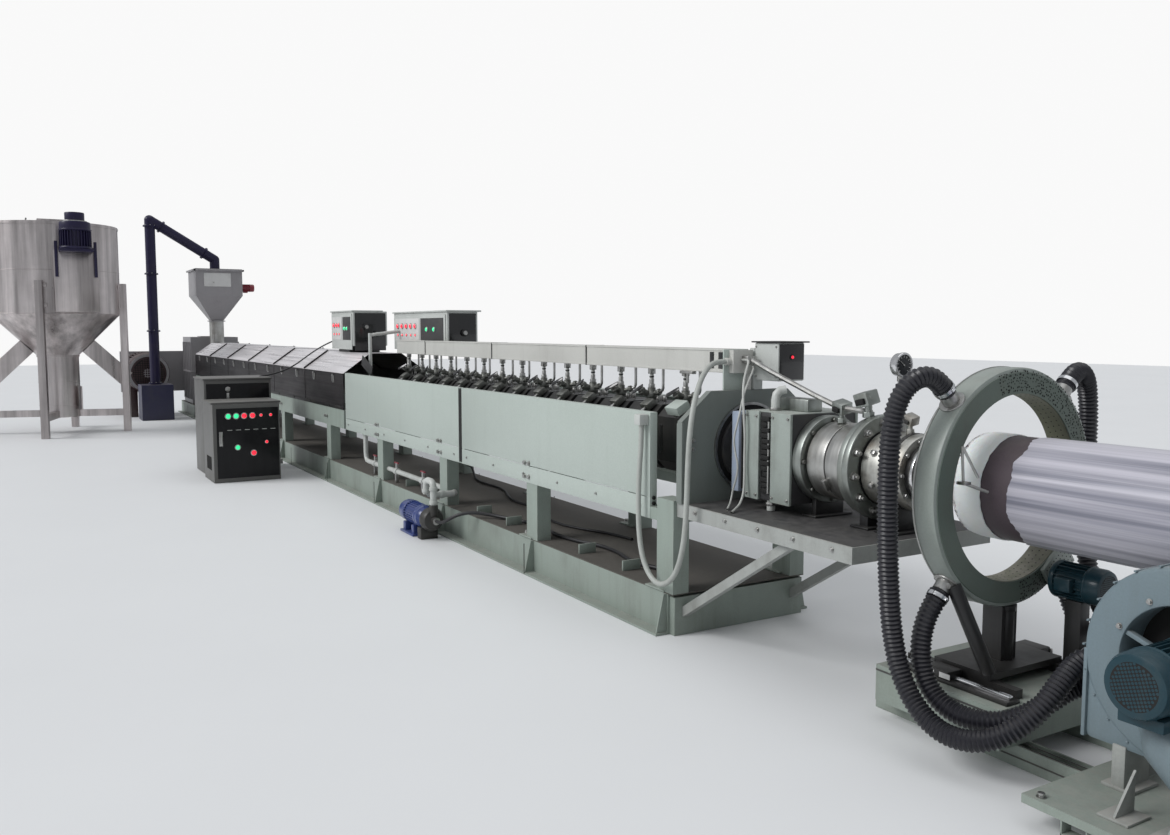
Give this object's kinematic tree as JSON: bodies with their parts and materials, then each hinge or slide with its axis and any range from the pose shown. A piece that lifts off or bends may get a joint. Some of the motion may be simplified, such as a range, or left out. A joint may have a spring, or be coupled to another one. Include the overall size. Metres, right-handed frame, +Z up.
{
  "type": "plastic extruder",
  "caption": "Long foam-film extrusion line: stirring silo and hopper, drive, heated barrel on a steel skid, round die, air ring on a trolley, cooling mandrel and blower with hoses.",
  "frame": {"origin": "on the floor, on the machine's axis, under the downstream end beam of the skid", "axes": "+X runs downstream along the barrel's axis, +Z is up, the operator's side is -Y"},
  "size_m": [20.62, 4.35, 3.585],
  "materials": {
    "bare_steel": "machined steel with heat stain",
    "black_paint": "matt black",
    "cabinet_grey": "satin grey",
    "chrome": "polished",
    "conduit_grey": "matt",
    "control_white": "satin pale grey",
    "cream_paint": "satin cream",
    "deck_brown": "dusty worn plate",
    "door_black": "gloss black panel",
    "duct_violet": "gloss violet-blue",
    "film_lilac": "streaked translucent film",
    "frame_green": "satin machine paint, grey-green",
    "hopper_grey": "satin grey",
    "hose_black": "matt corrugated",
    "machine_green": "satin machine paint, pale grey-green",
    "mandrel_mauve": "satin mauve-grey",
    "motor_red": "satin red",
    "motor_teal": "gloss teal enamel",
    "pump_blue": "gloss blue enamel",
    "stainless": "brushed stainless sheet",
    "volute_blue": "satin blue-grey"
  },
  "bodies": {
    "line": {"adapter": "bare_steel", "air_manifold": "black_paint", "air_ring": "machine_green", "barrel": "bare_steel", "barrel_cover": "stainless", "barrel_jackets": "black_paint", "block_cable": "conduit_grey", "blower_motor": "motor_teal", "blower_volute": "volute_blue", "cabinet_body": "cabinet_grey", "cable_trunk": "cream_paint", "conduit_loop": "conduit_grey", "control_boxes": "control_white", "coupling_flange": "bare_steel", "cover_cable": "hose_black", "cradles": "frame_green", "cross_beams": "frame_green", "deck": "deck_brown", "deck_cable": "hose_black", "deck_hose": "hose_black", "die": "bare_steel", "die_table": "machine_green", "drive_motor": "motor_red", "end_plate": "frame_green", "feed_housing": "bare_steel", "feeder_bin": "hopper_grey", "feeder_duct": "duct_violet", "film_sleeves": "film_lilac", "floor_rails": "frame_green", "gearbox": "hopper_grey", "heater_block": "machine_green", "hopper": "hopper_grey", "hopper_lid": "hopper_grey", "hopper_motor": "motor_red", "hose_front_lower": "hose_black", "hose_front_upper": "hose_black", "hose_rear_lower": "hose_black", "hose_rear_upper": "hose_black", "loop_cable": "conduit_grey", "mandrel": "mandrel_mauve", "mandrel_stand": "frame_green", "posts": "frame_green", "pressure_gauge": "chrome", "ring_stand": "black_paint", "sensor_box": "control_white", "side_panels": "machine_green", "silo_chutes": "stainless", "silo_frame": "stainless", "silo_motor": "duct_violet", "silo_roof": "stainless", "silo_shell": "stainless", "silo_tube": "stainless", "skid_beams": "frame_green", "skid_gussets": "frame_green", "static_mixer": "bare_steel", "trolleys": "frame_green", "upper_rails": "frame_green", "valve_sets": "bare_steel", "water_pump": "pump_blue"},
    "door": {"cabinet_door": "door_black"}
  },
  "joints": [
    {"name": "cabinet_door_hinge", "type": "hinge", "parent": "line", "child": "door", "pos_m": [-6.58, -0.878, 0.4], "axis": [0, 0, 1], "range_deg": [0, 110]}
  ]
}
